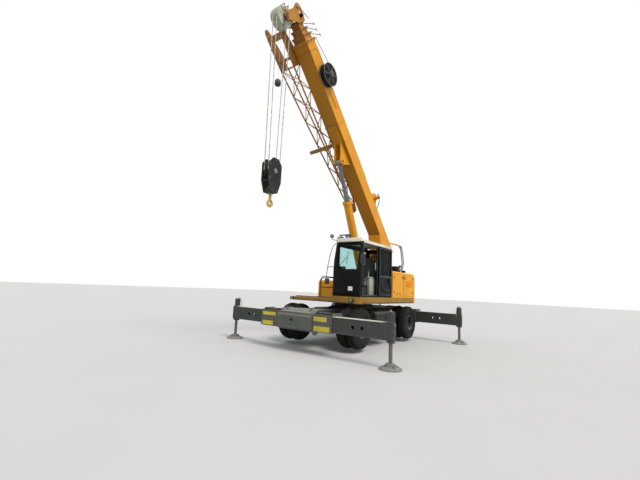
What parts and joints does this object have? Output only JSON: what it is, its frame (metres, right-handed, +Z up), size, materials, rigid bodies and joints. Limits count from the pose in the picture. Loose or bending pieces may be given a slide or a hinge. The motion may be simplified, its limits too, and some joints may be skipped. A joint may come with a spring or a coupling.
{
  "type": "mobile crane",
  "caption": "Wheeled telescopic crane on extended outriggers, with a slewing upper, cab, raised boom, luffing cylinder, stowed lattice jib and hook block.",
  "frame": {"origin": "on the ground under the slewing axis", "axes": "+Z up; the crane's front faces -Y; +X is the machine's left, the cab side"},
  "size_m": [5.9, 7.5437, 9.4493],
  "materials": {
    "slate_paint": "worn satin",
    "beam_paint": "worn satin",
    "jack_grey": "worn satin",
    "dark_steel": "rough",
    "orange_paint": "semi-gloss",
    "jib_paint": "satin",
    "cab_black": "satin",
    "roof_cream": "satin",
    "clear_glass": "smooth",
    "lamp_black": "satin",
    "seat_cloth": "woven",
    "tyre_rubber": "dusty",
    "rim_grey": "dusty",
    "rod_chrome": "polished",
    "sheave_grey": "matte",
    "reel_black": "satin",
    "rope_steel": "greased",
    "hook_yellow": "worn"
  },
  "bodies": {
    "chassis": {"chassis_frame": "slate_paint", "front_outrigger_box": "slate_paint", "rear_outrigger_box": "slate_paint", "slew_ring": "dark_steel", "front_axle": "beam_paint", "rear_axle": "beam_paint", "driveline": "dark_steel", "side_lockers": "slate_paint"},
    "superstructure": {"slewing_platform": "orange_paint", "engine_hood": "orange_paint", "tank_housing": "orange_paint", "engine_block": "dark_steel", "counterweight": "orange_paint", "boom_support": "orange_paint", "cab_shell": "cab_black", "cab_roof": "roof_cream", "windscreen": "clear_glass", "cab_windows": "clear_glass", "operator_seat": "seat_cloth", "slew_motor": "dark_steel", "exhaust_stack": "dark_steel", "lamps": "lamp_black"},
    "cab_door": {"cab_door": "cab_black", "door_glass": "clear_glass"},
    "boom": {"boom_base": "orange_paint", "hoist_winch": "orange_paint", "cable_reel": "reel_black", "lattice_jib": "jib_paint"},
    "section_2": {"boom_section_2": "orange_paint"},
    "section_3": {"boom_section_3": "orange_paint"},
    "head": {"boom_head": "orange_paint", "head_sheaves": "sheave_grey"},
    "luff_barrel": {"luff_barrel": "orange_paint"},
    "luff_rod": {"luff_rod": "rod_chrome"},
    "rope_hanger": {"rope_socket": "rope_steel", "rope_falls": "rope_steel"},
    "hook_block": {"hook_block": "hook_yellow"},
    "hook": {"hook": "hook_yellow"},
    "outrigger_front_left": {"beam_front_left": "beam_paint"},
    "jack_front_left": {"jack_leg_front_left": "jack_grey"},
    "outrigger_front_right": {"beam_front_right": "beam_paint"},
    "jack_front_right": {"jack_leg_front_right": "jack_grey"},
    "outrigger_rear_left": {"beam_rear_left": "beam_paint"},
    "jack_rear_left": {"jack_leg_rear_left": "jack_grey"},
    "outrigger_rear_right": {"beam_rear_right": "beam_paint"},
    "jack_rear_right": {"jack_leg_rear_right": "jack_grey"},
    "knuckle_left": {"steering_knuckle_left": "beam_paint"},
    "wheel_front_left": {"twin_tyres_front_left": "tyre_rubber", "rim_front_left": "rim_grey"},
    "wheel_rear_left": {"twin_tyres_rear_left": "tyre_rubber", "rim_rear_left": "rim_grey"},
    "knuckle_right": {"steering_knuckle_right": "beam_paint"},
    "wheel_front_right": {"twin_tyres_front_right": "tyre_rubber", "rim_front_right": "rim_grey"},
    "wheel_rear_right": {"twin_tyres_rear_right": "tyre_rubber", "rim_rear_right": "rim_grey"}
  },
  "joints": [
    {"name": "slew", "type": "hinge", "parent": "chassis", "child": "superstructure", "pos_m": [0, 0, 1.29], "axis": [0, 0, 1], "continuous": true},
    {"name": "cab_door_swing", "type": "hinge", "parent": "superstructure", "child": "cab_door", "pos_m": [1.281, -0.72, 2.2], "axis": [0, 0, -1], "range_deg": [0, 180]},
    {"name": "boom_luff", "type": "hinge", "parent": "superstructure", "child": "boom", "pos_m": [0, 1.72, 2.86], "axis": [-1, 0, 0], "range_deg": [-45.1, 32.9]},
    {"name": "luff_barrel_tilt", "type": "hinge", "parent": "superstructure", "child": "luff_barrel", "pos_m": [0, 0.724, 1.738], "axis": [-1, 0, 0], "range_deg": [-42, 31]},
    {"name": "luff_rod_slide", "type": "slide", "parent": "luff_barrel", "child": "luff_rod", "axis": [0, -0.4246, 0.9054], "range_m": [-1.05, 0.77]},
    {"name": "telescope_2", "type": "slide", "parent": "boom", "child": "section_2", "axis": [0, -0.7059, 0.7083], "range_m": [0, 6.4]},
    {"name": "telescope_3", "type": "slide", "parent": "section_2", "child": "section_3", "axis": [0, -0.7059, 0.7083], "range_m": [0, 6.4]},
    {"name": "telescope_4", "type": "slide", "parent": "section_3", "child": "head", "axis": [0, -0.7059, 0.7083], "range_m": [0, 6.4]},
    {"name": "rope_hang", "type": "hinge", "parent": "head", "child": "rope_hanger", "pos_m": [0, -4.15842, 8.80148], "axis": [-1, 0, 0], "range_deg": [-33, 45.2]},
    {"name": "hoist", "type": "slide", "parent": "rope_hanger", "child": "hook_block", "axis": [0, 0, -1], "range_m": [-3.2, 3.2], "deforming": ["rope_falls"]},
    {"name": "hook_swivel", "type": "hinge", "parent": "hook_block", "child": "hook", "pos_m": [0, -4.15842, 3.9], "axis": [0, 0, 1], "continuous": true},
    {"name": "outrigger_retract_front_left", "type": "slide", "parent": "chassis", "child": "outrigger_front_left", "axis": [-1, 0, 0], "range_m": [0, 1.4]},
    {"name": "jack_lift_front_left", "type": "slide", "parent": "outrigger_front_left", "child": "jack_front_left", "axis": [0, 0, 1], "range_m": [0, 0.42]},
    {"name": "outrigger_retract_front_right", "type": "slide", "parent": "chassis", "child": "outrigger_front_right", "axis": [1, 0, 0], "range_m": [0, 1.4]},
    {"name": "jack_lift_front_right", "type": "slide", "parent": "outrigger_front_right", "child": "jack_front_right", "axis": [0, 0, 1], "range_m": [0, 0.42]},
    {"name": "outrigger_retract_rear_left", "type": "slide", "parent": "chassis", "child": "outrigger_rear_left", "axis": [-1, 0, 0], "range_m": [0, 1.4]},
    {"name": "jack_lift_rear_left", "type": "slide", "parent": "outrigger_rear_left", "child": "jack_rear_left", "axis": [0, 0, 1], "range_m": [0, 0.42]},
    {"name": "outrigger_retract_rear_right", "type": "slide", "parent": "chassis", "child": "outrigger_rear_right", "axis": [1, 0, 0], "range_m": [0, 1.4]},
    {"name": "jack_lift_rear_right", "type": "slide", "parent": "outrigger_rear_right", "child": "jack_rear_right", "axis": [0, 0, 1], "range_m": [0, 0.42]},
    {"name": "steer_left", "type": "hinge", "parent": "chassis", "child": "knuckle_left", "pos_m": [0.64, -1.65, 0.632], "axis": [0, 0, 1], "range_deg": [-30, 30]},
    {"name": "wheel_spin_front_left", "type": "hinge", "parent": "knuckle_left", "child": "wheel_front_left", "pos_m": [1.05, -1.65, 0.632], "axis": [1, 0, 0], "continuous": true},
    {"name": "wheel_spin_rear_left", "type": "hinge", "parent": "chassis", "child": "wheel_rear_left", "pos_m": [1.05, 1.65, 0.632], "axis": [1, 0, 0], "continuous": true},
    {"name": "steer_right", "type": "hinge", "parent": "chassis", "child": "knuckle_right", "pos_m": [-0.64, -1.65, 0.632], "axis": [0, 0, 1], "range_deg": [-30, 30]},
    {"name": "wheel_spin_front_right", "type": "hinge", "parent": "knuckle_right", "child": "wheel_front_right", "pos_m": [-1.05, -1.65, 0.632], "axis": [1, 0, 0], "continuous": true},
    {"name": "wheel_spin_rear_right", "type": "hinge", "parent": "chassis", "child": "wheel_rear_right", "pos_m": [-1.05, 1.65, 0.632], "axis": [1, 0, 0], "continuous": true}
  ],
  "couplings": [
    {"joint": "luff_barrel_tilt", "follows": "boom_luff", "ratio": 0.905},
    {"joint": "luff_rod_slide", "follows": "boom_luff", "m_per_rad": 1.312},
    {"joint": "rope_hang", "follows": "boom_luff", "ratio": -1},
    {"joint": "telescope_3", "follows": "telescope_2", "ratio": 1},
    {"joint": "telescope_4", "follows": "telescope_2", "ratio": 1},
    {"joint": "steer_right", "follows": "steer_left", "ratio": 1}
  ]
}
